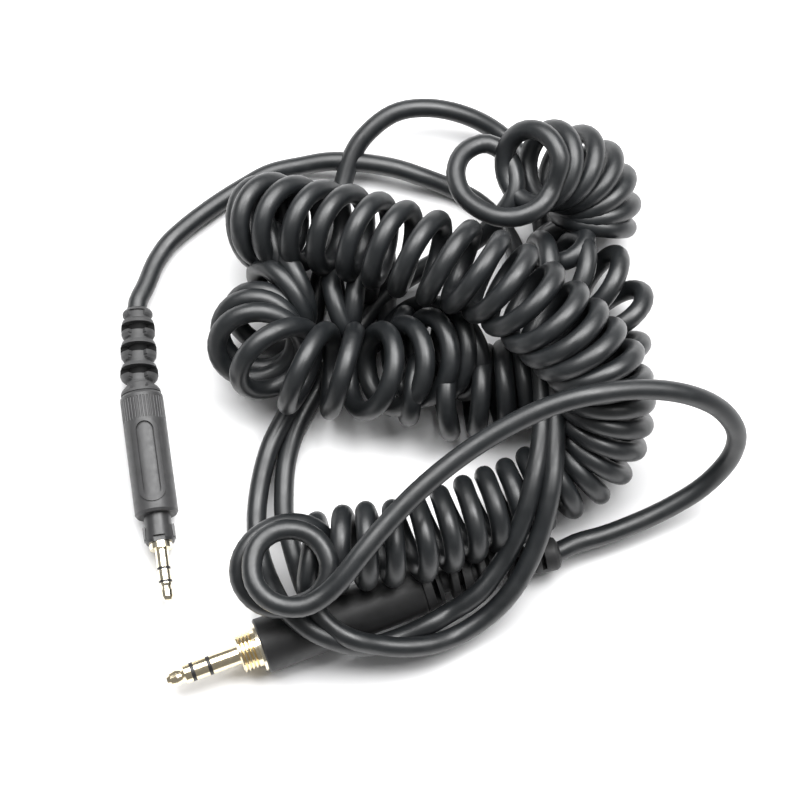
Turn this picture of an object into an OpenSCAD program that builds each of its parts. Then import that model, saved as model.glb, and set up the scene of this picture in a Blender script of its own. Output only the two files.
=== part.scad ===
// Coiled stereo headphone lead: a 3.5 mm plug, a curly cord with straight ends, and a 2.5 mm bayonet plug.
// All sizes in millimetres. +Z is up, the lead lies on the plane z = 0.

/* [Cord] */
// Outside diameter of the cord
cord_d = 3.7; // [3.2:0.1:3.8]
// Sides of the straight cord's tube
cord_sides = 8; // [8:1:10]
// Sides of the coil's outer tube
coil_sides = 12; // [10:1:14]
// Outside radius of the coil over the big plug
front_coil_r = 8.0; // [7.6:0.1:8.2]
// Outside radius of the coil in its raised arch
arch_coil_r = 8.9; // [8.2:0.1:9.0]
// Outside radius of the coil in its other stretches
low_coil_r = 8.6; // [8.0:0.1:8.8]

/* [Small plug] */
// Diameter of the small plug's contacts
small_d = 2.5; // [2.4:0.05:2.6]
// Diameter of the small plug's barrel
small_barrel_d = 8.1; // [7.8:0.1:8.4]
// Length of the small plug's barrel
small_barrel_l = 23.7; // [22:0.1:25]
// Number of grip flutes round the small barrel
flutes = 40; // [24:1:48]
// Turn of the small plug on the table
small_turn = -81.2; // [-84:0.2:-78]

/* [Big plug] */
// Diameter of the big plug's contacts
big_d = 3.5; // [3.4:0.05:3.6]
// Diameter of the big plug's barrel
big_barrel_d = 10.4; // [10:0.1:10.8]
// Length of the big plug's barrel
big_barrel_l = 31; // [29:0.5:33]
// Thread ridges on the big plug's shank
ridges = 4; // [3:1:5]
// Turn of the big plug on the table
big_turn = 200.6; // [199:0.2:202]

/* [Wires] */
// Diameter of one insulated wire
wire_d = 0.9; // [0.7:0.05:1.0]

/* [Hidden] */
$fn = 48;

// centring of the two plugs over the origin
shift = [-0.015, -0.115, 0];

black = "#1b1c1e";
jacket = "#232527";
gold = "#d9b760";
ivory = "#3a3a3c";

// small plug: hinge point of its boot, rear direction of the boot
small_pivot = [-38, 21.3, small_barrel_d / 2];
small_rear = 93.2;
small_rear_l = 15.6;
// big plug: centre of the barrel's front face, first notch of its boot
big_face = [-14.3, -29.4, big_barrel_d / 2];
big_notch = 4.5;
big_rear = 13.9;
big_rear_l = 22.8;
big_pivot = big_face + (big_barrel_l + big_notch) * [cos(big_turn + 180), sin(big_turn + 180), 0];
small_exit = small_pivot + small_rear_l * [cos(small_rear), sin(small_rear), 0];
big_exit = big_pivot + big_rear_l * [cos(big_rear), sin(big_rear), 0];

// route of the cord, from the coil's top ring to the small plug's boot
route_small = [
    [39, 53, 24], [33, 47, 23], [25, 50, 22], [21, 58, 20], [27, 64, 19], [33, 58, 18], [29, 50, 14],
    [19, 46, 6], [9, 40, 4], [2, 32, 2], [-3, 22, 2], [-7, 12, 3], [-10, 1, 4], [-10, -9, 7],
    [-7, -18, 11], [-3, -25, 15], [6, -30, 13], [16, -31, 7], [25, -28, 5], [32, -18, 11], [37, -9, 16],
    [39, 1, 20], [40, 12, 20], [40, 23, 18], [38, 34, 12], [39, 43, 5], [38, 55, 2], [36, 66, 2],
    [29, 73, 5], [18, 76, 9], [8, 73, 8], [1, 66, 7], [-1, 56, 2], [-4, 45, 2], [-6, 33, 2],
    [-8, 22, 2], [-12, 12, 4], [-15, 2, 4], [-15, -9, 5], [-13, -18, 8], [-8, -25, 13], [1, -31, 11],
    [12, -28, 5], [21, -25, 7], [27, -18, 11], [32, -10, 16], [35, 0, 20], [35, 11, 20], [35, 22, 18],
    [34, 32, 13], [33, 42, 7], [32, 51, 2], [26, 59, 2], [16, 63, 3], [5, 66, 2], [-7, 66, 3],
    [-18, 63, 2], [-28, 56, 2], [-35, 48, 2]
];
// route of the cord, from the coil's front ring to the big plug's boot
route_big = [
    [-5, -13, 21], [-13, -14, 24], [-14, -23, 24], [-5, -26, 25], [4, -19, 28], [11, -10, 30],
    [19, -3, 32], [28, 3, 34], [38, 7, 36], [49, 9, 36], [60, 10, 33], [69, 9, 25],
    [72, 5, 16], [67, 0, 8], [58, -4, 6], [49, -8, 5]
];
// centre lines of the coil's stretches
path_front = [[-11, -17, 15], [-4, -15, 17], [4, -14, 17], [12, -12, 16], [20, -9, 15], [28, -5, 12], [33, -3, 10]];
path_arch = [
    [36, -1, 10], [42, 2, 9], [47, 7, 13], [49, 12, 20], [47, 16, 26], [42, 21, 30], [35, 28, 29],
    [27, 34, 26], [18, 39, 23], [9, 43, 20], [-1, 47, 17], [-10, 49, 16], [-14, 50, 14]
];
path_fan = [[-13, 47, 9], [-10, 42, 9], [-11, 37, 9], [-14, 32, 10]];
path_left = [[-13, 23, 14], [-8, 21, 14], [0, 21, 13], [9, 22, 13], [17, 24, 12]];
path_back = [
    [23, 18, 9], [33, 20, 9], [41, 22, 9], [47, 26, 9], [51, 31, 9], [50, 36, 9], [46, 40, 10], [40, 41, 11]
];
path_top = [[41, 46, 10], [45, 50, 9], [48, 54, 10], [47, 58, 14], [43, 60, 18], [38, 59, 22]];

function unit(v) = v / norm(v);
function dir(p, i) =
    i <= 0 ? unit(p[1] - p[0]) :
    i >= len(p) - 1 ? unit(p[len(p) - 1] - p[len(p) - 2]) :
    unit(unit(p[i + 1] - p[i]) + unit(p[i] - p[i - 1]));
function side(t) = unit(cross(t, [0, 0, 1]));
function carry(u, t) = unit(u - (u * t) * t);
function sides_of(p, i, u) = i >= len(p) ? [] : let (v = carry(u, dir(p, i))) concat([v], sides_of(p, i + 1, v));

// a round tube of radius r swept along the points of p, n sides
module swept(p, r, n) {
    u = sides_of(p, 0, side(dir(p, 0)));
    m = len(p);
    pts = [for (i = [0:m - 1]) for (k = [0:n - 1])
        let (a = (k + 0.5) * 360 / n, t = dir(p, i)) p[i] + r * (cos(a) * u[i] + sin(a) * cross(t, u[i]))];
    walls = [for (i = [0:m - 2]) for (k = [0:n - 1])
        let (a = i * n + k, b = i * n + (k + 1) % n) each [[a, a + n, b], [b, a + n, b + n]]];
    ends = [[for (k = [0:n - 1]) k], [for (k = [0:n - 1]) m * n - 1 - k]];
    polyhedron(points = pts, faces = concat(walls, ends), convexity = 10);
}

// solid of revolution about +X, points are [radius, distance along X]
module turned(pts) rotate([90, 0, 90]) rotate_extrude() polygon(pts);
// round bar along +X from x0 to x1
module bar(x0, x1, d) translate([x0, 0, 0]) rotate([0, 90, 0]) cylinder(h = x1 - x0, d = d);
// pipe along +X
module pipe(x0, x1, d, bore) difference() {
    bar(x0, x1, d);
    bar(x0 - 1, x1 + 1, bore);
}

module at_small() translate(shift + small_pivot) rotate([0, 0, small_turn]) children();
module at_big() translate(shift + big_face) rotate([0, 0, big_turn]) children();

// ---- small plug, x = 0 at the boot's front notch, tip at x = 42.4 ----
sb0 = 2.3;
sb1 = sb0 + small_barrel_l;
sc1 = sb1 + 5.3;
st = sc1 + 11.1;
small_r = small_d / 2;

module small_tip_contact() color(gold) at_small() union() {
    turned([[0, st - 3.4], [small_r, st - 3.4], [small_r, st - 3.2], [1.02, st - 2.7], [1.2, st - 2.0], [1.15, st - 0.8], [0.8, st - 0.15], [0.6, st], [0, st]]);
    bar(18, st - 3.3, 0.6);
}
module small_tip_insulator() color(ivory) at_small() union() {
    pipe(st - 3.9, st - 3.4, small_d, 0.6);
    pipe(20, st - 3.8, 1.0, 0.6);
}
module small_ring_contact() color(gold) at_small() union() {
    pipe(st - 5.9, st - 3.9, small_d, 1.0);
    pipe(21, st - 5.8, 1.4, 1.0);
}
module small_ring_insulator() color(ivory) at_small() union() {
    pipe(st - 6.4, st - 5.9, small_d, 1.4);
    pipe(22, st - 6.3, 1.9, 1.4);
}
module small_sleeve_contact() color(gold) at_small() union() {
    pipe(sc1 + 1.1, st - 6.4, small_d, 1.9);
    pipe(sc1, sc1 + 1.2, 4.3, 1.9);
    pipe(23.5, sc1 + 0.1, 2.9, 1.9);
}
// stamped lug that clamps on the sleeve's tail and takes the ground wire
module small_ground_lug() color("#c9c3b4") at_small() union() {
    pipe(23.6, 24.2, 3.5, 2.9);
    translate([19.2, -0.6, 1.47]) cube([4.6, 1.2, 0.25]);
}
// bayonet collar: neck, nose ring and two side lugs
module small_lock_collar() color(black) at_small() difference() {
    union() {
        bar(24.6, sc1, 5.1);
        turned([[0, sc1 - 3.3], [2.7, sc1 - 3.0], [2.85, sc1 - 0.5], [2.6, sc1], [0, sc1]]);
        for (a = [90, 270]) rotate([a, 0, 0])
            translate([sc1 - 3.1, -1.1, 2.2]) cube([2.4, 2.2, 0.75]);
        bar(24.6, 25.4, 6.1);
    }
    bar(24, sc1 + 1, 2.9);
    // notch in the nose
    translate([sc1 - 1.0, -1.1, 2.15]) cube([2, 2.2, 2]);
}
module small_barrel() color(black) at_small() difference() {
    union() {
        turned([[0, sb0], [3.7, sb0], [4.0, sb0 + 0.5], [small_barrel_d / 2, sb0 + 1.0],
            [small_barrel_d / 2, sb1 - 0.5], [small_barrel_d / 2 - 0.35, sb1], [0, sb1]]);
        // raised stadium frame on top, left bare inside
        intersection() {
            bar(sb0 + 2, sb1 - 1.2, small_barrel_d + 0.6);
            difference() {
                stadium(sb0 + 5.5, sb0 + 21.9, 4.9, 4.6);
                stadium(sb0 + 6.3, sb0 + 21.1, 3.3, 6);
            }
        }
    }
    for (i = [0:flutes - 1]) rotate([i * 360 / flutes, 0, 0])
        translate([sb0 + 1.1, 0, small_barrel_d / 2 + 0.04]) rotate([0, 90, 0]) cylinder(h = 4.4, r = 0.18, $fn = 16);
    // shallow floor inside the frame
    difference() {
        stadium(sb0 + 6.3, sb0 + 21.1, 3.3, 5);
        bar(sb0, sb1, small_barrel_d - 0.4);
    }
    bar(sb0 - 1, 24.6, 6.4);
    bar(24, 25.4, 6.1);
    bar(24, sb1 + 1, 5.1);
}
// stadium outline from x0 to x1, width w, standing on z = 0 to height h
module stadium(x0, x1, w, h) linear_extrude(h) union() {
    translate([x0 + w / 2, 0]) circle(d = w);
    translate([x1 - w / 2, 0]) circle(d = w);
    translate([x0 + w / 2, -w / 2]) square([x1 - x0 - w, w]);
}
module small_inner_mould() color(ivory) at_small() difference() {
    bar(4.6, 24.6, 6.4);
    bar(4, 25, 3.9);
}
// segmented boot: flare and spigot along the barrel, ringed tail along the cord
module small_boot() color(black) at_small() difference() {
    union() {
        turned([[0, -0.4], [2.35, -0.4], [2.35, 0.9], [3.2, 1.3], [3.65, 1.9], [3.65, sb0], [3.2, sb0], [3.2, 4.6], [0, 4.6]]);
        rotate([0, 0, small_rear - small_turn]) tail_small();
    }
    bar(-0.5, 5, 3.9);
    rotate([0, 0, small_rear - small_turn]) bar(-0.5, small_rear_l + 1, 3.9);
}
module tail_small() difference() {
    turned([[0, -0.4], [2.35, -0.4], [2.35, 0.5], [3.3, 0.8], [3.55, 1.4], [3.55, 2.4], [3.2, 3.1], [2.45, 3.5],
        [2.45, 4.7], [3.1, 5.0], [3.25, 5.6], [3.25, 6.8], [3.0, 7.4], [2.4, 7.8],
        [2.4, 8.9], [2.9, 9.3], [3.05, 9.8], [3.05, 11.4], [2.8, 12.0], [2.3, 12.5],
        [2.3, 13.5], [2.6, 13.8], [2.75, 14.4], [2.7, 15.1], [2.3, small_rear_l], [0, small_rear_l]]);
    for (x = [1.2, 5.4, 9.7]) for (s = [1, -1])
        translate([x, -1, s > 0 ? 2.45 : -4.45]) cube([1.9, 2, 2]);
}
module small_left_wire() color("#b8322a") at_small() bar(0.7, 17.9, wire_d);
module small_right_wire() color("#2f6db5") at_small() translate([0, -1.25, 0]) bar(0.7, 21.5, wire_d);
module small_ground_wire() color("#b5763c") at_small() translate([0, 0, 1.25 - 0.25]) bar(0.7, 19.1, wire_d);

// ---- big plug, x = 0 at the barrel's front face, tip at x = 18.1 ----
big_r = big_d / 2;
bt = 18.1;

module big_tip_contact() color(gold) at_big() union() {
    turned([[0, bt - 4.6], [big_r, bt - 4.6], [big_r, bt - 3.4], [1.25, bt - 2.8], [1.6, bt - 1.9], [1.3, bt - 0.7], [0.8, bt], [0, bt]]);
    bar(-13, bt - 4.5, 0.9);
}
module big_tip_insulator() color("#2a2a2c") at_big() union() {
    pipe(bt - 5.3, bt - 4.6, big_d, 0.9);
    pipe(-11, bt - 5.2, 1.5, 0.9);
}
module big_ring_contact() color(gold) at_big() union() {
    pipe(bt - 7.8, bt - 5.3, big_d, 1.5);
    pipe(-9.5, bt - 7.7, 2.1, 1.5);
}
module big_ring_insulator() color("#2a2a2c") at_big() union() {
    pipe(bt - 8.5, bt - 7.8, big_d, 2.1);
    pipe(-8, bt - 8.4, 2.8, 2.1);
}
// sleeve with its threaded shank and a driving slot across the thread
module big_sleeve_contact() color(gold) at_big() difference() {
    union() {
        bar(4.2, bt - 8.5, big_d);
        turned(concat([[0, 0.5], [3.5, 0.5], [3.5, 1.3]],
            [for (i = [0:ridges - 1]) each [[3.15, 1.45 + i * 2.8 / ridges], [3.5, 1.7 + i * 2.8 / ridges], [3.5, 1.95 + i * 2.8 / ridges]]],
            [[3.1, 4.3], [0, 4.3]]));
        bar(-6.5, 0.6, 5.4);
    }
    bar(-7, bt, 2.8);
    translate([0.4, -3.6, -0.4]) cube([1.1, 0.8, 0.8]);
}
module big_ground_lug() color("#c9c3b4") at_big() union() {
    pipe(-6.3, -5.6, 6.6, 5.4);
    translate([-13.6, -0.9, 2.72]) cube([7.5, 1.8, 0.3]);
}
module big_washer() color("#e3cf94") at_big() pipe(0, 0.5, 9.0, 5.4);
module big_barrel() color(black) at_big() difference() {
    union() {
        turned([[0, -big_barrel_l], [4.55, -big_barrel_l], [4.8, -big_barrel_l + 0.4],
            [big_barrel_d / 2, -0.25], [big_barrel_d / 2 - 0.25, 0], [0, 0]]);
    }
    bar(-big_barrel_l - 1, -3, 8);
    bar(-4, 1, 5.4);
}
module big_inner_mould() color(ivory) at_big() difference() {
    bar(-big_barrel_l + 3.2, -3, 8);
    bar(-big_barrel_l, -5.4, 6.6);
    bar(-6, -2, 5.4);
}
module big_boot() color(black) at_big() translate([-big_barrel_l - big_notch, 0, 0]) difference() {
    union() {
        turned([[0, -0.6], [2.35, -0.6], [2.35, 0.7], [4.0, 1.1], [4.35, 2.0], [4.45, big_notch], [4, big_notch], [4, big_notch + 3.2], [0, big_notch + 3.2]]);
        rotate([0, 0, big_rear - big_turn]) tail_big();
    }
    bar(-0.6, 9, 3.9);
    rotate([0, 0, big_rear - big_turn]) bar(-0.6, big_rear_l + 1, 3.9);
}
module tail_big() difference() {
    turned([[0, -0.6], [2.35, -0.6], [2.35, 0.7], [3.8, 1.0], [3.95, 1.6], [3.8, 4.2], [2.35, 4.5],
        [2.35, 5.8], [3.6, 6.1], [3.7, 6.7], [3.6, 9.2], [2.35, 9.5],
        [2.35, 10.9], [3.35, 11.2], [3.45, 11.8], [3.35, 14.3], [2.35, 14.6],
        [2.35, 16.0], [3.1, 16.3], [3.1, 18.0], [2.35, 18.3],
        [2.35, 19.1], [2.95, 19.4], [3.05, 20.2], [3.05, 21.9], [2.7, big_rear_l], [0, big_rear_l]]);
    for (x = [1.3, 6.4, 11.5]) for (s = [1, -1])
        translate([x, -1.2, s > 0 ? 2.6 : -4.6]) cube([2.2, 2.4, 2]);
}
module big_left_wire() color("#b8322a") at_big() bar(-big_barrel_l - big_notch + 0.8, -13, wire_d);
module big_right_wire() color("#2f6db5") at_big() translate([0, -1.35, 0]) bar(-big_barrel_l - big_notch + 0.8, -9.6, wire_d);
module big_ground_wire() color("#b5763c") at_big() union() {
    translate([0, 0, 1.3]) bar(-big_barrel_l - big_notch + 0.8, -14.4, wire_d);
    translate([-14.85, 0, 0.85]) cylinder(h = 2.3, d = wire_d);
    translate([-15.3, -0.4, 2.72]) cube([1.7, 0.8, 0.3]);
}

// ---- cord ----
module lead_small() color(jacket) translate(shift)
    swept(concat(route_small, [small_exit + [0.15, 1, 0], small_exit - [0, 2, 0] + [0.11, 0, 0], small_pivot + [0, 0.6, 0]]), cord_d / 2, cord_sides);
module lead_big() color(jacket) translate(shift)
    swept(concat(route_big, [big_exit + [1, 0.25, 0], big_exit - [2, 0.5, 0], big_pivot + 0.8 * [cos(big_rear), sin(big_rear), 0]]), cord_d / 2, cord_sides);
module coil_front() color(jacket) translate(shift) swept(path_front, front_coil_r, coil_sides);
module coil_arch() color(jacket) translate(shift) swept(path_arch, arch_coil_r, coil_sides);
module coil_fan() color(jacket) translate(shift) swept(path_fan, low_coil_r, coil_sides);
module coil_left() color(jacket) translate(shift) swept(path_left, low_coil_r, coil_sides);
module coil_back() color(jacket) translate(shift) swept(path_back, low_coil_r, coil_sides);
module coil_top() color(jacket) translate(shift) swept(path_top, low_coil_r, coil_sides);

small_tip_contact();
small_tip_insulator();
small_ring_contact();
small_ring_insulator();
small_sleeve_contact();
small_ground_lug();
small_lock_collar();
small_barrel();
small_inner_mould();
small_boot();
small_left_wire();
small_right_wire();
small_ground_wire();
big_tip_contact();
big_tip_insulator();
big_ring_contact();
big_ring_insulator();
big_sleeve_contact();
big_ground_lug();
big_washer();
big_barrel();
big_inner_mould();
big_boot();
big_left_wire();
big_right_wire();
big_ground_wire();
lead_small();
lead_big();
coil_front();
coil_arch();
coil_fan();
coil_left();
coil_back();
coil_top();
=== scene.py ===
import bpy, bmesh, math
import numpy as np
from mathutils import Vector, Matrix


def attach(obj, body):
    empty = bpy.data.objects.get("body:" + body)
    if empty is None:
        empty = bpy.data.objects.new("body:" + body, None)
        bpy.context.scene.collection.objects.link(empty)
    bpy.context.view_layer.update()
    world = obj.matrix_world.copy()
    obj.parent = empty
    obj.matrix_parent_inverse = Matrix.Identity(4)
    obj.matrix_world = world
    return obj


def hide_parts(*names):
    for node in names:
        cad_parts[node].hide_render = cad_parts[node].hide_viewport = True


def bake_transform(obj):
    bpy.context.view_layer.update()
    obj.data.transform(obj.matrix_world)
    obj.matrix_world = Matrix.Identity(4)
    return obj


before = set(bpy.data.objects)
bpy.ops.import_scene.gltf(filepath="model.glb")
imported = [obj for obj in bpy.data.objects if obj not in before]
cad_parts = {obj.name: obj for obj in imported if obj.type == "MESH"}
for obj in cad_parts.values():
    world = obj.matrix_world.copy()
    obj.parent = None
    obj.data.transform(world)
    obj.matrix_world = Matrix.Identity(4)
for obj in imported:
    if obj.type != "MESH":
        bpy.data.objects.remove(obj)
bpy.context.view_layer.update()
MM = 0.001
SHIFT = np.array([-0.015, -0.115, 0.0])      # the part's own centring, in mm
CORD_D = 3.7


# ---------------------------------------------------------------- camera
# The photograph looks down at 72 degrees, from 520 mm.
CAM = np.array([11.0, -141.189, 494.549]) + SHIFT
cam_data = bpy.data.cameras.new("camera")
cam_data.sensor_fit = "HORIZONTAL"
cam_data.sensor_width = 36.0
cam_data.lens = 123.57
cam_data.clip_start = 0.01
cam_data.clip_end = 10.0
cam = bpy.data.objects.new("camera", cam_data)
bpy.context.scene.collection.objects.link(cam)
cam.location = CAM * MM
cam.rotation_euler = (math.radians(18.0), 0.0, 0.0)
bpy.context.scene.camera = cam
CDIR = np.array([0.0, -math.cos(math.radians(72.0)), math.sin(math.radians(72.0))])

# ---------------------------------------------------------------- cord
# Control points in mm, in the part's frame before its centring.
# coil: turn number, centre x y z, mean radius, axis azimuth and elevation in degrees
COIL = [
    (0.75, -10.6, -18.0, 18.0, 7.20, 309, 67.3),
    (1, -10.7, -17.8, 18.0, 7.20, 309, 67.3),
    (1.25, -8.7, -16.9, 17.6, 7.10, 327.5, 58.9),
    (1.5, -6.2, -16.0, 17.0, 7.00, 345.2, 38.2),
    (2, -4.8, -14.2, 12.0, 6.30, 2, 3.7),
    (3, 0.4, -13.8, 14.8, 6.30, 7, 2),
    (4, 4.9, -13.5, 16.8, 6.30, 12, 0),
    (5, 9.7, -13.0, 16.6, 6.20, 13, 0),
    (6, 15.0, -12.0, 16.0, 6.20, 20, 0),
    (7, 19.3, -9.9, 15.0, 6.20, 22, 0),
    (8, 23.6, -7.7, 13.8, 6.20, 22, 0),
    (9, 27.7, -5.4, 12.2, 6.20, 23, 0),
    (10, 31.8, -3.4, 10.8, 6.20, 24, 2),
    (11, 36.0, -0.9, 9.5, 6.30, 27, 6),
    (12, 40.5, 1.7, 9.0, 6.50, 33, 14),
    (13, 44.2, 3.9, 9.8, 6.80, 41, 24),
    (14, 46.8, 6.4, 11.8, 7.00, 53, 34),
    (15, 48.1, 8.9, 15.0, 7.10, 68, 40),
    (16, 48.5, 11.2, 18.5, 7.20, 78, 38.8),
    (17, 48.3, 13.1, 22.0, 7.20, 92.4, 38.5),
    (18, 47.6, 15.2, 25.0, 7.20, 106.8, 38.5),
    (19, 46.0, 17.6, 27.5, 7.20, 122.1, 37.4),
    (20, 43.1, 19.9, 29.5, 7.20, 134.5, 35.3),
    (21, 40.4, 22.6, 30.0, 7.20, 140.9, 33.4),
    (22, 37.2, 25.7, 29.8, 7.20, 145, 31.8),
    (23, 33.2, 29.6, 28.5, 7.20, 148.6, 29),
    (24, 29.2, 33.1, 27.0, 7.20, 152.9, 21.7),
    (25, 24.7, 35.8, 25.5, 7.20, 154.8, 13.9),
    (26, 19.8, 38.1, 24.0, 7.20, 156.1, 3.9),
    (27, 14.3, 40.6, 22.0, 7.20, 157.4, -1.9),
    (28, 9.1, 43.2, 20.0, 7.20, 159.1, -6.7),
    (29, 4.5, 45.3, 18.6, 7.20, 159.5, -11.8),
    (30, -0.7, 47.2, 17.4, 7.20, 158.2, -17.8),
    (31, -5.3, 48.3, 16.6, 7.20, 157.9, -22.4),
    (32, -10.2, 49.4, 15.8, 7.20, 157.2, -29.3),
    (33, -14.1, 50.4, 14.4, 7.20, 158.9, -34.5),
    (34, -15.5, 50.8, 11.2, 7.20, 168.8, -35.4),
    (35, -14.0, 49.3, 9.0, 7.20, 184.6, -26.4),
    (36, -11.5, 46.0, 9.1, 7.20, 197.7, -10.5),
    (37, -10.1, 42.5, 9.2, 7.20, 204.4, 1.3),
    (38, -9.9, 39.2, 9.4, 7.20, 209.8, 9),
    (39, -12.3, 35.3, 9.6, 7.20, 224.8, 23.6),
    (40, -14.5, 30.6, 9.4, 7.20, 249, 45.4),
    (41, -15.6, 28.4, 11.8, 7.30, 265.2, 49),
    (42, -15.1, 25.0, 14.2, 7.40, 281.3, 46.7),
    (42.5, -13.2, 23.4, 14.8, 7.40, 296.4, 32.1),
    (43, -11.7, 22.4, 15.0, 7.40, 311.4, 24.1),
    (44, -5.6, 20.9, 14.2, 7.40, 342.2, 6.4),
    (45, 0.6, 20.8, 13.4, 7.40, 354.6, -2.9),
    (46, 6.2, 20.9, 13.0, 7.40, 7.7, -27.8),
    (47, 11.4, 21.9, 13.0, 7.30, 16.9, -32),
    (48, 16.0, 23.7, 13.0, 7.20, 20.2, -32.4),
    (49, 19.7, 25.0, 12.0, 7.00, 16, -30),
    (50, 22.0, 25.7, 11.0, 7.00, 12.9, -27.5),
    (51, -1.1, 36.1, 7.6, 5.70, 0, 0),
    (52, 2.5, 36.7, 7.6, 5.70, 0, 0),
    (53, 6.4, 44.4, 7.0, 5.00, 355.2, -1.5),
    (54, 10.6, 30.7, 8.0, 5.60, 350.5, -3.1),
    (55, 13.6, 18.1, 9.0, 6.70, 1, 3.3),
    (56, 21.4, 18.0, 8.9, 7.00, 359.6, 17),
    (56.5, 22.7, 18.2, 8.9, 7.00, 0.8, 13.6),
    (57, 26.6, 18.4, 8.9, 7.00, 3.9, 7.3),
    (58, 30.4, 19.2, 8.9, 7.00, 9.5, 3.1),
    (59, 34.1, 20.1, 8.9, 7.00, 12.4, 4),
    (60, 37.9, 21.1, 8.9, 7.00, 15.3, 4.9),
    (61, 41.4, 22.3, 8.9, 7.00, 23.9, 7.5),
    (62, 45.2, 24.1, 8.9, 7.00, 57.2, 24),
    (62.75, 49.2, 26.4, 8.9, 7.00, 105.9, 41),
    (63.75, 50.8, 33.3, 9.2, 7.00, 141.7, 48.1),
    (64.75, 48.1, 38.9, 9.6, 7.00, 159, 35.4),
    (65.75, 43.2, 40.8, 10.6, 7.00, 183.9, 37.8),
    (66.75, 36.9, 40.1, 11.4, 7.00, 181.5, 14.1),
    (67.75, 39.9, 45.0, 10.6, 7.00, 143.2, 36.7),
    (68.75, 47.1, 51.7, 9.0, 7.00, 85.4, 33),
    (69.75, 48.0, 54.4, 10.5, 7.00, 99.9, 42.6),
    (70.75, 47.7, 56.6, 12.5, 7.00, 129.4, 46.1),
    (71.75, 45.9, 58.6, 15.0, 7.00, 151.4, 47.4),
    (72.75, 42.9, 59.5, 17.8, 7.00, 171.8, 46.5),
    (73.75, 39.0, 58.8, 20.5, 7.00, 191.7, 45.3),
    (74.75, 35.3, 57.5, 23.0, 7.00, 206.8, 45.9),
    (75, 35.0, 57.4, 23.3, 7.00, 208, 47.6),
]
# from inside the big plug's boot to the coil's first ring
LEAD_BIG = np.array([
    (19.7, -16.7, 5.2),
    (26.7, -15.0, 5.2),
    (34.5, -13.1, 5.2),
    (39.6, -11.8, 5.2),
    (43.6, -9.9, 5.2),
    (47.9, -8.6, 5.0),
    (51.8, -7.2, 5.0),
    (59.8, -3.7, 5.5),
    (66.7, 0.0, 8.0),
    (71.0, 3.5, 13.0),
    (72.1, 5.8, 18.0),
    (71.3, 7.4, 22.0),
    (67.9, 9.3, 27.0),
    (61.7, 10.2, 32.0),
    (53.8, 10.1, 35.0),
    (44.5, 8.4, 37.0),
    (37.3, 6.6, 36.0),
    (29.8, 3.5, 34.0),
    (22.1, -1.0, 32.0),
    (14.5, -7.0, 30.5),
    (8.5, -13.0, 29.0),
    (4.2, -18.0, 28.0),
    (0.9, -21.9, 26.5),
    (-2.0, -24.5, 25.0),
    (-5.5, -26.4, 24.2),
    (-8.9, -26.5, 23.8),
    (-12.2, -25.2, 23.8),
    (-14.5, -22.6, 24.0),
    (-15.2, -19.3, 24.0),
    (-14.5, -15.9, 24.0),
    (-12.2, -13.4, 24.0),
    (-9.2, -12.4, 23.8),
    (-6.1, -12.6, 23.0),
    (-3.4, -14.3, 22.3),
    (-1.8, -17.1, 21.8),
    (-1.6, -20.0, 21.0),
    (-3.2, -22.8, 19.6),
    (-6.1, -24.3, 17.8),
])
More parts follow.
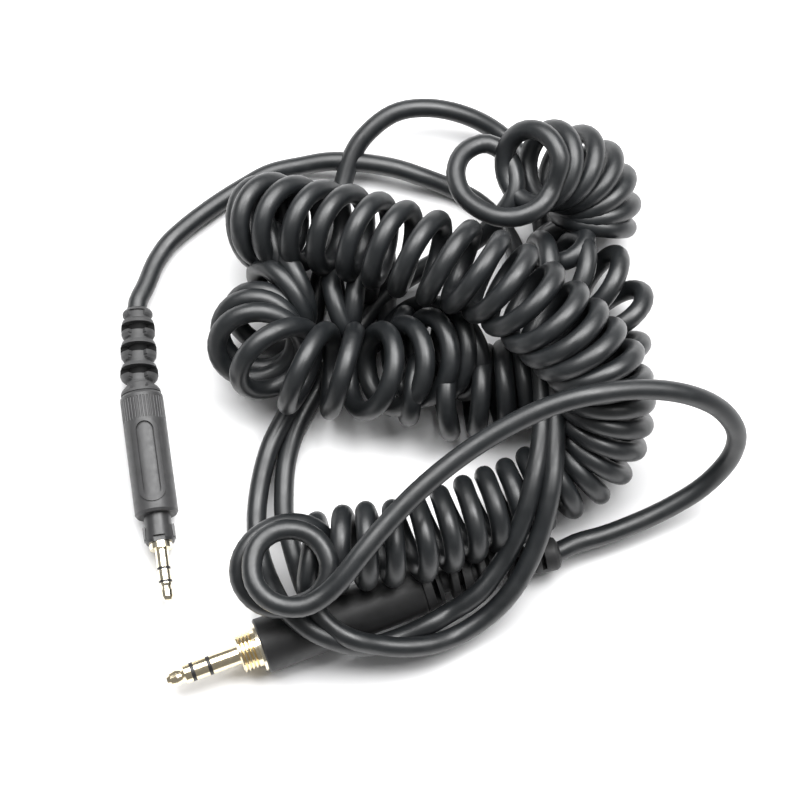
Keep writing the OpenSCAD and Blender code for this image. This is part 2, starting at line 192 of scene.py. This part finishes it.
# from the coil's last ring to inside the small plug's boot
LEAD_SMALL = np.array([
    (39.2, 52.7, 24.5),
    (37.0, 49.3, 24.0),
    (33.3, 47.5, 23.5),
    (29.5, 47.5, 23.0),
    (25.8, 49.5, 22.0),
    (22.7, 52.7, 21.0),
    (21.4, 57.0, 20.5),
    (22.2, 60.6, 20.0),
    (24.1, 62.8, 19.5),
    (27.0, 64.0, 19.0),
    (29.8, 62.9, 18.8),
    (31.8, 60.4, 18.6),
    (32.7, 56.9, 18.2),
    (32.2, 53.8, 17.4),
    (30.5, 51.5, 15.6),
    (28.1, 49.6, 12.8),
    (24.6, 47.7, 9.5),
    (18.8, 45.6, 6.5),
    (13.5, 43.1, 4.5),
    (9.3, 40.4, 3.5),
    (6.2, 37.4, 2.8),
    (3.8, 34.2, 2.2),
    (0.7, 29.9, 1.9),
    (-2.3, 25.3, 1.9),
    (-5.2, 19.9, 1.9),
    (-7.8, 14.8, 2.2),
    (-9.5, 9.8, 2.6),
    (-10.4, 4.7, 3.2),
    (-10.6, -0.2, 3.4),
    (-10.4, -4.8, 4.0),
    (-9.0, -10.2, 4.8),
    (-7.9, -14.2, 5.8),
    (-6.7, -18.3, 8.6),
    (-5.6, -21.4, 11.0),
    (-4.1, -24.8, 12.9),
    (-0.7, -27.9, 11.8),
    (2.9, -29.6, 11.2),
    (6.5, -30.0, 9.6),
    (11.0, -30.2, 8.2),
    (16.4, -29.4, 6.6),
    (20.7, -27.6, 5.0),
    (24.7, -25.4, 5.4),
    (28.3, -22.9, 7.0),
    (31.4, -19.9, 9.5),
    (34.1, -15.8, 12.0),
    (36.3, -11.0, 15.0),
    (37.7, -6.2, 18.0),
    (38.6, -1.1, 19.6),
    (39.0, 4.1, 19.8),
    (39.3, 9.3, 19.8),
    (39.2, 15.0, 19.6),
    (39.0, 21.0, 19.2),
    (38.6, 29.2, 15.0),
    (38.6, 38.7, 8.0),
    (38.8, 47.9, 2.6),
    (38.2, 55.4, 1.9),
    (37.1, 62.6, 1.9),
    (34.3, 68.7, 2.5),
    (30.4, 72.4, 4.0),
    (24.5, 74.7, 7.0),
    (16.8, 75.7, 9.0),
    (10.0, 74.7, 9.0),
    (4.5, 70.9, 7.5),
    (1.8, 67.2, 6.0),
    (0.0, 61.8, 4.0),
    (-1.5, 55.2, 2.4),
    (-3.0, 49.2, 1.9),
    (-4.3, 43.0, 1.9),
    (-5.4, 35.9, 1.9),
    (-6.3, 28.9, 1.9),
    (-7.7, 21.8, 2.2),
    (-10.4, 15.4, 3.5),
    (-13.1, 9.4, 4.0),
    (-14.7, 3.6, 3.6),
    (-15.5, -2.1, 3.4),
    (-15.5, -7.1, 4.0),
    (-14.9, -11.5, 4.8),
    (-13.8, -15.1, 5.6),
    (-12.3, -18.9, 7.8),
    (-10.1, -23.5, 12.0),
    (-7.7, -26.0, 12.4),
    (-4.3, -28.3, 12.0),
    (-0.9, -29.5, 10.7),
    (2.9, -30.0, 8.3),
    (6.5, -29.3, 5.7),
    (11.0, -27.7, 5.1),
    (16.5, -25.5, 6.4),
    (20.1, -23.3, 6.4),
    (23.0, -21.9, 7.9),
    (25.7, -20.0, 9.3),
    (28.4, -16.8, 10.7),
    (30.6, -13.7, 12.5),
    (32.5, -10.2, 15.5),
    (34.1, -5.9, 18.0),
    (35.3, -1.1, 19.6),
    (36.3, 3.9, 19.8),
    (36.9, 9.3, 19.8),
    (37.0, 15.1, 19.4),
    (36.6, 21.0, 19.0),
    (35.8, 27.9, 16.0),
    (34.7, 36.4, 10.0),
    (33.9, 44.5, 4.5),
    (32.5, 50.4, 2.4),
    (29.7, 55.4, 1.9),
    (25.5, 59.5, 1.9),
    (20.3, 62.0, 2.5),
    (15.4, 63.4, 4.0),
    (10.2, 64.8, 5.0),
    (3.4, 66.0, 5.0),
    (-2.5, 66.5, 4.5),
    (-8.3, 65.9, 3.5),
    (-14.2, 64.8, 2.6),
    (-19.1, 62.2, 2.0),
    (-23.6, 59.2, 1.9),
    (-27.6, 56.1, 1.9),
    (-30.8, 53.3, 1.9),
    (-33.5, 50.5, 1.9),
    (-35.8, 46.5, 2.3),
    (-37.4, 41.5, 3.2),
    (-38.9, 37.4, 4.0),
    (-38.8, 34.9, 4.0),
    (-38.4, 29.3, 4.0),
    (-38.0, 21.9, 4.0),
])
SMALL_PIVOT = np.array([-38.00, 21.30, 4.05])


def catmull(T, V, t):
    """cubic Hermite through (T, V), T increasing"""
    T = np.asarray(T, float)
    V = np.asarray(V, float)
    if V.ndim == 1:
        V = V[:, None]
    n = len(T)
    M = np.zeros_like(V)
    for i in range(n):
        if i == 0:
            M[i] = (V[1] - V[0]) / (T[1] - T[0])
        elif i == n - 1:
            M[i] = (V[-1] - V[-2]) / (T[-1] - T[-2])
        else:
            h0 = T[i] - T[i - 1]
            h1 = T[i + 1] - T[i]
            M[i] = ((V[i] - V[i - 1]) / h0 * h1 + (V[i + 1] - V[i]) / h1 * h0) / (h0 + h1)
    t = np.atleast_1d(t)
    k = np.clip(np.searchsorted(T, t, side="right") - 1, 0, n - 2)
    h = (T[k + 1] - T[k])[:, None]
    s = (t - T[k])[:, None] / h
    s2, s3 = s * s, s * s * s
    return (2 * s3 - 3 * s2 + 1) * V[k] + (s3 - 2 * s2 + s) * h * M[k] + (3 * s2 - 2 * s3) * V[k + 1] + (s3 - s2) * h * M[k + 1]


def smooth(P, step):
    """points every `step` mm along the smooth curve through P"""
    P = np.asarray(P, float)
    T = np.concatenate([[0], np.cumsum(np.maximum(np.linalg.norm(np.diff(P, axis=0), axis=1) ** 0.5, 1e-6))])
    t = np.concatenate([np.linspace(T[i], T[i + 1], 8, endpoint=False) for i in range(len(T) - 1)] + [[T[-1]]])
    return even(catmull(T, P, t), step)


def even(Q, step):
    s = np.concatenate([[0], np.cumsum(np.linalg.norm(np.diff(Q, axis=0), axis=1))])
    q = np.linspace(0, s[-1], max(2, int(round(s[-1] / step)) + 1))
    return np.stack([np.interp(q, s, Q[:, i]) for i in range(3)], 1)


def coil(table, per_turn=28):
    """left-handed coil: each row is turn number, centre, radius, axis azimuth and elevation"""
    K = np.array(table, float)
    t = K[:, 0]
    az, el = np.radians(K[:, 5]), np.radians(K[:, 6])
    n = np.stack([np.cos(az) * np.cos(el), np.sin(az) * np.cos(el), np.sin(el)], 1)
    tt = np.linspace(t[0], t[-1], int(round((t[-1] - t[0]) * per_turn)) + 1)
    c = catmull(t, K[:, 1:4], tt)
    r = catmull(t, K[:, 4], tt)[:, 0]
    nn = catmull(t, n, tt)
    nn /= np.linalg.norm(nn, axis=1)[:, None]
    u = np.cross(nn, CDIR)
    u /= np.linalg.norm(u, axis=1)[:, None]
    w = np.cross(nn, u)
    a = math.radians(-90.0) - 2 * math.pi * tt
    return c + r[:, None] * (np.cos(a)[:, None] * u + np.sin(a)[:, None] * w)


centre = smooth(np.concatenate([LEAD_BIG, coil(COIL), LEAD_SMALL]), 1.45) + SHIFT


def frames_along(P):
    T = np.gradient(P, axis=0)
    T /= np.linalg.norm(T, axis=1)[:, None]
    U = np.zeros_like(P)
    u = np.cross(T[0], [0, 0, 1.0])
    u /= np.linalg.norm(u)
    for i in range(len(P)):
        u = u - T[i] * (u @ T[i])
        u /= np.linalg.norm(u)
        U[i] = u
    return T, U, np.cross(T, U)


def mesh_object(name, verts, faces, smooth_shade=True):
    me = bpy.data.meshes.new(name)
    me.from_pydata([tuple(v) for v in verts], [], faces)
    me.update()
    if smooth_shade:
        me.polygons.foreach_set("use_smooth", [True] * len(me.polygons))
    ob = bpy.data.objects.new(name, me)
    bpy.context.scene.collection.objects.link(ob)
    return ob


def tube(name, P, radius, sides):
    """closed round tube along P (mm), written in metres"""
    T, U, Wv = frames_along(P)
    a = np.arange(sides) * 2 * math.pi / sides
    ring = np.cos(a)[None, :, None] * U[:, None, :] + np.sin(a)[None, :, None] * Wv[:, None, :]
    rad = np.broadcast_to(np.asarray(radius, float), (len(P),))
    V = (P[:, None, :] + rad[:, None, None] * ring).reshape(-1, 3) * MM
    m, n = len(P), sides
    F = [(i * n + k, i * n + (k + 1) % n, (i + 1) * n + (k + 1) % n, (i + 1) * n + k) for i in range(m - 1) for k in range(n)]
    F.append(tuple(reversed(range(n))))
    F.append(tuple((m - 1) * n + k for k in range(n)))
    return mesh_object(name, V, F)


cord_piece = tube("cord_jacket", centre, CORD_D / 2, 18)

# ---------------------------------------------------------------- materials
def material(name, color, rough, metal=0.0, rough_var=0.05, rough_scale=700.0, bump=0.0, bump_scale=2500.0,
             mottle=0.0, mottle_scale=60.0, wave=None, coat=0.0, coat_rough=0.2, ior=1.5, sheen=0.0, spec=0.5):
    m = bpy.data.materials.new(name)
    m.use_nodes = True
    nt = m.node_tree
    N = nt.nodes
    L = nt.links
    p = N["Principled BSDF"]
    p.inputs["Metallic"].default_value = metal
    p.inputs["IOR"].default_value = ior
    p.inputs["Coat Weight"].default_value = coat
    p.inputs["Coat Roughness"].default_value = coat_rough
    p.inputs["Specular IOR Level"].default_value = spec
    p.inputs["Sheen Weight"].default_value = sheen
    p.inputs["Sheen Roughness"].default_value = 0.5
    tc = N.new("ShaderNodeTexCoord")

    def noise(scale, detail=3.0, rough_=0.55):
        n = N.new("ShaderNodeTexNoise")
        n.inputs["Scale"].default_value = scale
        n.inputs["Detail"].default_value = detail
        n.inputs["Roughness"].default_value = rough_
        L.new(tc.outputs["Object"], n.inputs["Vector"])
        return n

    def ramp(src, lo, hi, a=0.35, b=0.65):
        r = N.new("ShaderNodeMapRange")
        r.inputs["From Min"].default_value = a
        r.inputs["From Max"].default_value = b
        r.inputs["To Min"].default_value = lo
        r.inputs["To Max"].default_value = hi
        L.new(src, r.inputs["Value"])
        return r

    if mottle > 0:
        n = noise(mottle_scale, 4.0)
        mix = N.new("ShaderNodeMix")
        mix.data_type = "RGBA"
        mix.inputs["A"].default_value = (*[c * (1 - mottle) for c in color], 1)
        mix.inputs["B"].default_value = (*[min(1, c * (1 + mottle)) for c in color], 1)
        r = ramp(n.outputs["Fac"], 0, 1)
        L.new(r.outputs["Result"], mix.inputs["Factor"])
        L.new(mix.outputs["Result"], p.inputs["Base Color"])
    else:
        p.inputs["Base Color"].default_value = (*color, 1)
    n2 = noise(rough_scale, 3.0)
    r2 = ramp(n2.outputs["Fac"], rough - rough_var, rough + rough_var)
    L.new(r2.outputs["Result"], p.inputs["Roughness"])
    if bump > 0:
        n3 = noise(bump_scale, 4.0, 0.6)
        b = N.new("ShaderNodeBump")
        b.inputs["Strength"].default_value = bump
        b.inputs["Distance"].default_value = 0.00006
        L.new(n3.outputs["Fac"], b.inputs["Height"])
        L.new(b.outputs["Normal"], p.inputs["Normal"])
    return m


m_cord = material("cord jacket", (0.0078, 0.0092, 0.0104), 0.41, rough_var=0.05, rough_scale=420, bump=0.10, bump_scale=2600, mottle=0.16, mottle_scale=110, spec=0.68)
cord_piece.data.materials.append(m_cord)

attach(cord_piece, "cable")
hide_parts("lead_small", "lead_big", "coil_front", "coil_arch", "coil_fan", "coil_left", "coil_back", "coil_top")

m_satin = material("barrel satin black", (0.044, 0.044, 0.045), 0.44, rough_var=0.06, rough_scale=900, bump=0.25, bump_scale=4200, mottle=0.10, mottle_scale=500, spec=0.45)
# big barrel black, set darker than the small barrel's to stand in for the coil's shadow over the big plug: partly
# its own black, partly painted shade
m_barrel_black_painted_shade = material("barrel dark black", (0.016, 0.016, 0.0165), 0.46, rough_var=0.05, rough_scale=700, bump=0.18, bump_scale=3600, mottle=0.12, mottle_scale=300, spec=0.45)
m_collar = material("collar black", (0.030, 0.030, 0.031), 0.36, rough_var=0.05, rough_scale=900, bump=0.10, bump_scale=4000, mottle=0.08, mottle_scale=400, spec=0.5)
m_rubber = material("boot rubber", (0.050, 0.050, 0.051), 0.56, rough_var=0.06, rough_scale=800, bump=0.22, bump_scale=3600, mottle=0.12, mottle_scale=350, spec=0.4)
# painted shade: a darker copy of the boot rubber for the big plug lying under the coil
m_rubber_painted_shade = material("boot rubber dark", (0.018, 0.018, 0.0185), 0.56, rough_var=0.06, rough_scale=800, bump=0.22, bump_scale=3600, mottle=0.12, mottle_scale=350, spec=0.4)
# painted shade: a near-black material put on the floors of the boots' slots in place of the shadow inside them
m_slot_painted_shade = material("slot shade", (0.006, 0.006, 0.0062), 0.75, rough_var=0.05, rough_scale=900, bump=0.1, bump_scale=3000, spec=0.15)
m_gold = material("gold plate", (0.96, 0.84, 0.60), 0.18, metal=1.0, rough_var=0.05, rough_scale=600, bump=0.04, bump_scale=5000, mottle=0.03, mottle_scale=160)
m_gold_pale = material("gold plate pale", (0.97, 0.89, 0.70), 0.20, metal=1.0, rough_var=0.05, rough_scale=600, bump=0.04, bump_scale=5000, mottle=0.03, mottle_scale=160)
m_ring_black = material("insulator black", (0.014, 0.013, 0.013), 0.40, rough_var=0.05, rough_scale=900, bump=0.05, bump_scale=4000, mottle=0.1, mottle_scale=500)
m_mould = material("inner mould", (0.048, 0.048, 0.050), 0.6, rough_var=0.06, rough_scale=600, bump=0.15, bump_scale=3000, mottle=0.1, mottle_scale=300)
m_tin = material("tinned brass", (0.72, 0.68, 0.58), 0.32, metal=1.0, rough_var=0.08, rough_scale=500, bump=0.08, bump_scale=3000, mottle=0.05, mottle_scale=200)
m_red = material("red insulation", (0.45, 0.030, 0.025), 0.42, rough_var=0.05, rough_scale=700, bump=0.06, bump_scale=3000, mottle=0.08, mottle_scale=250)
m_blue = material("blue insulation", (0.030, 0.13, 0.42), 0.42, rough_var=0.05, rough_scale=700, bump=0.06, bump_scale=3000, mottle=0.08, mottle_scale=250)
m_copper = material("enamelled copper", (0.80, 0.42, 0.22), 0.30, metal=1.0, rough_var=0.06, rough_scale=900, bump=0.10, bump_scale=5000, mottle=0.08, mottle_scale=300)

LOOKS = {
    "small_tip_contact": m_gold_pale, "small_ring_contact": m_gold_pale, "small_sleeve_contact": m_gold_pale,
    "small_tip_insulator": m_ring_black, "small_ring_insulator": m_ring_black,
    "small_lock_collar": m_collar, "small_barrel": m_satin, "small_boot": m_rubber,
    "small_inner_mould": m_mould, "small_ground_lug": m_tin,
    "small_left_wire": m_red, "small_right_wire": m_blue, "small_ground_wire": m_copper,
    "big_tip_contact": m_gold, "big_ring_contact": m_gold, "big_sleeve_contact": m_gold, "big_washer": m_gold_pale,
    "big_tip_insulator": m_ring_black, "big_ring_insulator": m_ring_black,
    "big_barrel": m_barrel_black_painted_shade, "big_boot": m_rubber_painted_shade, "big_inner_mould": m_mould, "big_ground_lug": m_tin,
    "big_left_wire": m_red, "big_right_wire": m_blue, "big_ground_wire": m_copper,
}
for node_name, node_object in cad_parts.items():
    look = LOOKS.get(node_name, m_cord)
    if len(node_object.material_slots) == 0:
        node_object.data.materials.append(look)
    for node_slot in node_object.material_slots:
        node_slot.link = "OBJECT"
        node_slot.material = look


# ---------------------------------------------------------------- boots
def revolved(prof, x0, x1, step, origin, turn, cuts=(), sides=96):
    """skin of a rubber sleeve along +X turned by `turn` degrees: prof is [(x, radius)], a cut is
    (x from, x to, radius, half angle, half width): cut to that radius inside the half angle of the top and bottom,
    or inside the half width when the angle is 0. Returns vertices in mm, faces and a shade index for each face:
    1 marks painted shade on the floor of a cut with a half angle, which takes the near-black slot material."""
    n = max(2, int(round((x1 - x0) / step)))
    xs = np.linspace(x0, x1, n + 1)
    a = np.arange(sides) * 2 * math.pi / sides
    r0 = np.interp(xs, [p[0] for p in prof], [p[1] for p in prof])
    R = np.repeat(r0[:, None], sides, 1)
    # painted shade mask: floor faces of the angled slots, which get the near-black slot material as their shadow
    dark = np.zeros_like(R, bool)
    s, c = np.sin(a)[None, :], np.cos(a)[None, :]
    X = np.repeat(xs[:, None], sides, 1)
    for xa, xb, rad, ang, half in cuts:
        inside = (X > xa) & (X < xb)
        if ang > 0:
            inside &= np.abs(s) < math.sin(math.radians(ang))
        else:
            inside &= np.abs(r0[:, None] * s) < half
        # an angled cut's floor is marked for painted shade
        if ang > 0:
            dark |= inside & (R > rad)
        R = np.where(inside, np.minimum(R, rad), R)
    t = math.radians(turn)
    ex, ey = np.array([math.cos(t), math.sin(t), 0]), np.array([-math.sin(t), math.cos(t), 0])
    V = (np.asarray(origin)[None, None, :] + X[..., None] * ex + (R * s)[..., None] * ey + (R * c)[..., None] * np.array([0, 0, 1.0])).reshape(-1, 3)
    m = n + 1
    F, S = [], []
    for i in range(m - 1):
        for k in range(sides):
            k2 = (k + 1) % sides
            F.append((i * sides + k, (i + 1) * sides + k, (i + 1) * sides + k2, i * sides + k2))
            S.append(int((dark[i, k] or dark[i, k2]) and (dark[i + 1, k] or dark[i + 1, k2])))
    F.append(tuple(range(sides)))
    F.append(tuple((m - 1) * sides + k for k in reversed(range(sides))))
    S += [0, 0]
    return V, F, S


def sleeve(name, parts, mats, sharp=38.0):
    V, F, S = [], [], []
    for v, f, sh in parts:
        o = len(V)
        V += [tuple((p + SHIFT) * MM) for p in v]
        F += [tuple(o + i for i in q) for q in f]
        S += sh
    me = bpy.data.meshes.new(name)
    me.from_pydata(V, [], F)
    me.update()
    bm = bmesh.new()
    bm.from_mesh(me)
    bmesh.ops.recalc_face_normals(bm, faces=bm.faces)
    for f in bm.faces:
        f.smooth = True
    for e in bm.edges:
        if len(e.link_faces) == 2 and e.calc_face_angle(0.0) > math.radians(sharp):
            e.smooth = False
    bm.to_mesh(me)
    bm.free()
    for m in mats:
        me.materials.append(m)
    me.polygons.foreach_set("material_index", S)
    ob = bpy.data.objects.new(name, me)
    bpy.context.scene.collection.objects.link(ob)
    return ob


SMALL_TURN, SMALL_REAR = -81.2, 93.2
BIG_TURN, BIG_REAR = 200.6, 13.9
BIG_PIVOT = np.array([-14.3, -29.4, 5.2]) + 35.5 * np.array([math.cos(math.radians(20.6)), math.sin(math.radians(20.6)), 0])
small_tail = [(-0.4, 2.3), (0.2, 2.35), (0.45, 3.0), (0.9, 3.4), (1.5, 3.6), (2.6, 3.55), (3.5, 3.2), (3.75, 3.1), (3.95, 2.35),
              (4.35, 2.35), (4.6, 2.9), (5.2, 3.3), (6.0, 3.4), (7.2, 3.4), (8.0, 3.15), (8.3, 3.0), (8.5, 2.4),
              (8.85, 2.4), (9.1, 2.85), (9.7, 3.15), (10.6, 3.2), (11.6, 3.15), (12.3, 2.95), (12.55, 2.85), (12.75, 2.35),
              (13.05, 2.35), (13.2, 2.6), (13.6, 2.85), (14.1, 2.85), (14.5, 2.6), (14.8, 2.2), (15.0, 1.9)]
small_cuts = [(1.5, 3.0, 1.95, 80, 0), (6.05, 7.5, 1.95, 80, 0), (10.3, 11.7, 1.95, 80, 0),
              (0.3, 1.6, 2.4, 0, 1.62), (3.97, 6.1, 2.38, 0, 1.62), (8.45, 10.35, 2.36, 0, 1.55), (12.75, 14.2, 2.36, 0, 1.45)]
small_flare = [(-0.4, 2.3), (0.15, 2.45), (0.6, 2.9), (1.15, 3.45), (1.7, 3.75), (2.29, 3.8), (2.3, 3.2), (4.6, 3.2)]
flare_cuts = [(0.3, 1.7, 2.6, 0, 1.6)]
# second material on each boot: painted shade on the slot floors
small_boot = sleeve("small_boot_rubber", [
    revolved(small_tail, -0.4, 15.0, 0.1, SMALL_PIVOT, SMALL_REAR, small_cuts),
    revolved(small_flare, -0.4, 4.6, 0.1, SMALL_PIVOT, SMALL_TURN, flare_cuts)], [m_rubber, m_slot_painted_shade])
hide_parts("small_boot")
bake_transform(small_boot)

big_tail = [(-0.7, 2.3), (0.85, 2.35), (1.0, 3.6), (1.3, 4.0), (4.9, 3.85), (5.2, 3.7), (5.35, 2.35),
            (6.3, 2.35), (6.5, 3.4), (6.8, 3.7), (10.2, 3.55), (10.5, 3.4), (10.65, 2.35),
            (11.6, 2.35), (11.8, 3.2), (12.1, 3.45), (15.4, 3.3), (15.7, 3.2), (15.85, 2.35),
            (16.8, 2.35), (17.0, 2.8), (17.4, 3.1), (20.9, 3.1), (21.5, 2.85), (22.0, 1.9)]
big_cuts = [(2.6, 3.5, 2.2, 66, 0), (8.0, 8.9, 2.15, 66, 0), (13.2, 14.1, 2.1, 66, 0), (18.2, 18.9, 2.1, 66, 0)]
big_flare = [(-0.7, 2.3), (0.5, 2.35), (0.75, 3.7), (1.1, 4.1), (4.3, 4.65), (4.45, 4.55), (4.5, 4.0), (7.7, 4.0)]
big_flare_cuts = [(1.75, 2.65, 2.4, 66, 0)]
big_boot = sleeve("big_boot_rubber", [
    revolved(big_tail, -0.7, 22.0, 0.12, BIG_PIVOT, BIG_REAR, big_cuts),
    revolved(big_flare, -0.7, 7.7, 0.12, BIG_PIVOT, BIG_TURN, big_flare_cuts)], [m_rubber_painted_shade, m_slot_painted_shade])
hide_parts("big_boot")
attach(big_boot, "cable")

# ---------------------------------------------------------------- floor and light
bpy.ops.mesh.primitive_plane_add(size=3.0, location=(0, 0, 0))
floor = bpy.context.object
floor.name = "floor"
floor.data.materials.append(material("floor", (0.86, 0.86, 0.865), 0.6, rough_var=0.02, rough_scale=60, spec=0.2))

w = bpy.data.worlds.new("studio")
bpy.context.scene.world = w
w.use_nodes = True
bg = w.node_tree.nodes["Background"]
bg.inputs["Color"].default_value = (1.0, 1.0, 1.0, 1)
bg.inputs["Strength"].default_value = 0.22


def area(name, loc, target, size, power, color=(1, 1, 1), size_y=None):
    d = bpy.data.lights.new(name, "AREA")
    d.shape = "RECTANGLE"
    d.size = size
    d.size_y = size_y or size
    d.energy = power
    d.color = color
    o = bpy.data.objects.new(name, d)
    bpy.context.scene.collection.objects.link(o)
    o.location = loc
    v = Vector(target) - Vector(loc)
    o.rotation_euler = v.to_track_quat("-Z", "Y").to_euler()
    return o


area("key", (-0.05, 0.26, 0.62), (0.0, 0.02, 0.0), 0.70, 9.4, size_y=0.55)
area("fill", (0.30, 0.10, 0.60), (0.0, 0.02, 0.0), 0.34, 3.4)
sc = bpy.context.scene
sc.view_settings.view_transform = "Standard"
sc.view_settings.look = "None"
sc.view_settings.exposure = 0.0
sc.view_settings.gamma = 1.0
